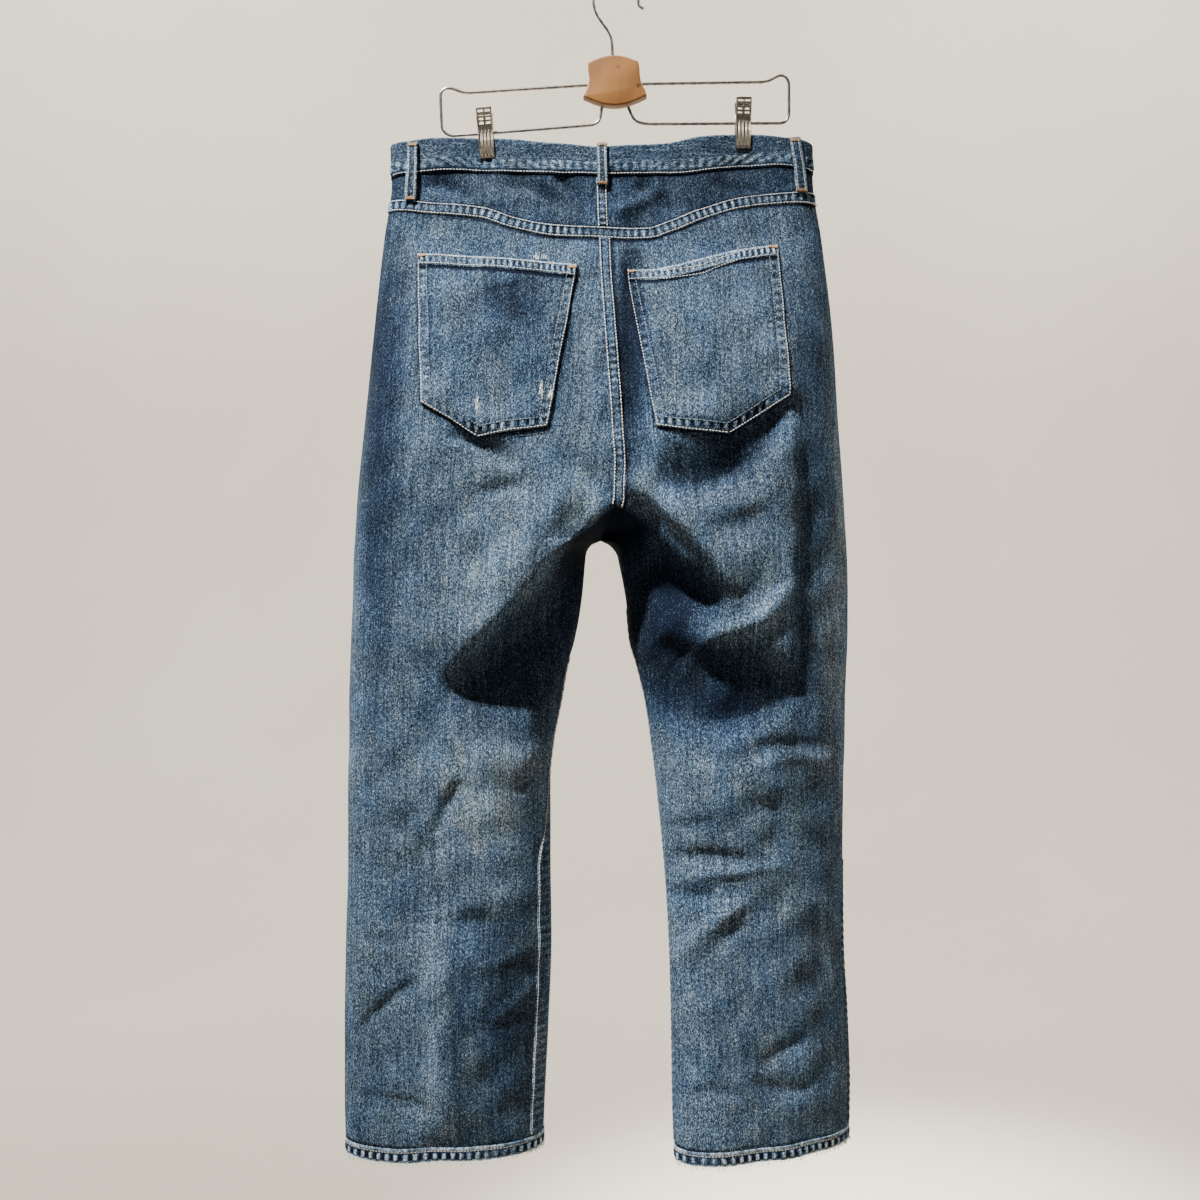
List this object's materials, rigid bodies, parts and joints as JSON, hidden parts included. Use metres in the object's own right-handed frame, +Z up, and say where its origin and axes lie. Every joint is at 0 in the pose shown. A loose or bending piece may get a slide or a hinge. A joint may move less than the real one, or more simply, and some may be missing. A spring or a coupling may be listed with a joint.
{
  "type": "straight leg jeans on a wire clip hanger",
  "caption": "Straight leg denim jeans with back pockets, yoke, waistband and hemmed legs, hung by the waist from a wire clip hanger with a wooden centre block.",
  "frame": {"origin": "underside of the top of the hanger's hook, where it rests on a peg or rail", "axes": "+X towards the wearer's right side, -Y out of the back of the jeans, +Z up"},
  "size_m": [0.5217, 0.1268, 1.194],
  "materials": {
    "denim": "washed twill",
    "denim_trim": "washed twill, paler at its edges",
    "button_metal": "aged",
    "wire": "polished",
    "clip_metal": "nickel plated",
    "wood": "lacquered"
  },
  "bodies": {
    "root": {"back_panel_left": "denim", "back_panel_right": "denim", "front_panel_left": "denim", "front_panel_right": "denim", "yoke_left": "denim", "yoke_right": "denim", "waistband": "denim_trim", "back_pocket_left": "denim_trim", "back_pocket_right": "denim_trim", "hip_pocket_facing_left": "denim", "hip_pocket_facing_right": "denim", "fly": "denim", "belt_loop_back": "denim_trim", "belt_loop_back_left": "denim_trim", "belt_loop_back_right": "denim_trim", "belt_loop_front_left": "denim_trim", "belt_loop_front_right": "denim_trim", "leg_hem_left": "denim_trim", "leg_hem_right": "denim_trim", "waist_button": "button_metal", "hanger_hook": "wire", "hanger_wire_left": "wire", "hanger_wire_right": "wire", "hanger_block": "wood", "clip_jaw_back_left": "clip_metal", "clip_jaw_back_right": "clip_metal", "clip_jaw_front_left": "clip_metal", "clip_jaw_front_right": "clip_metal", "clip_spring_left": "clip_metal", "clip_spring_right": "clip_metal"}
  },
  "joints": []
}
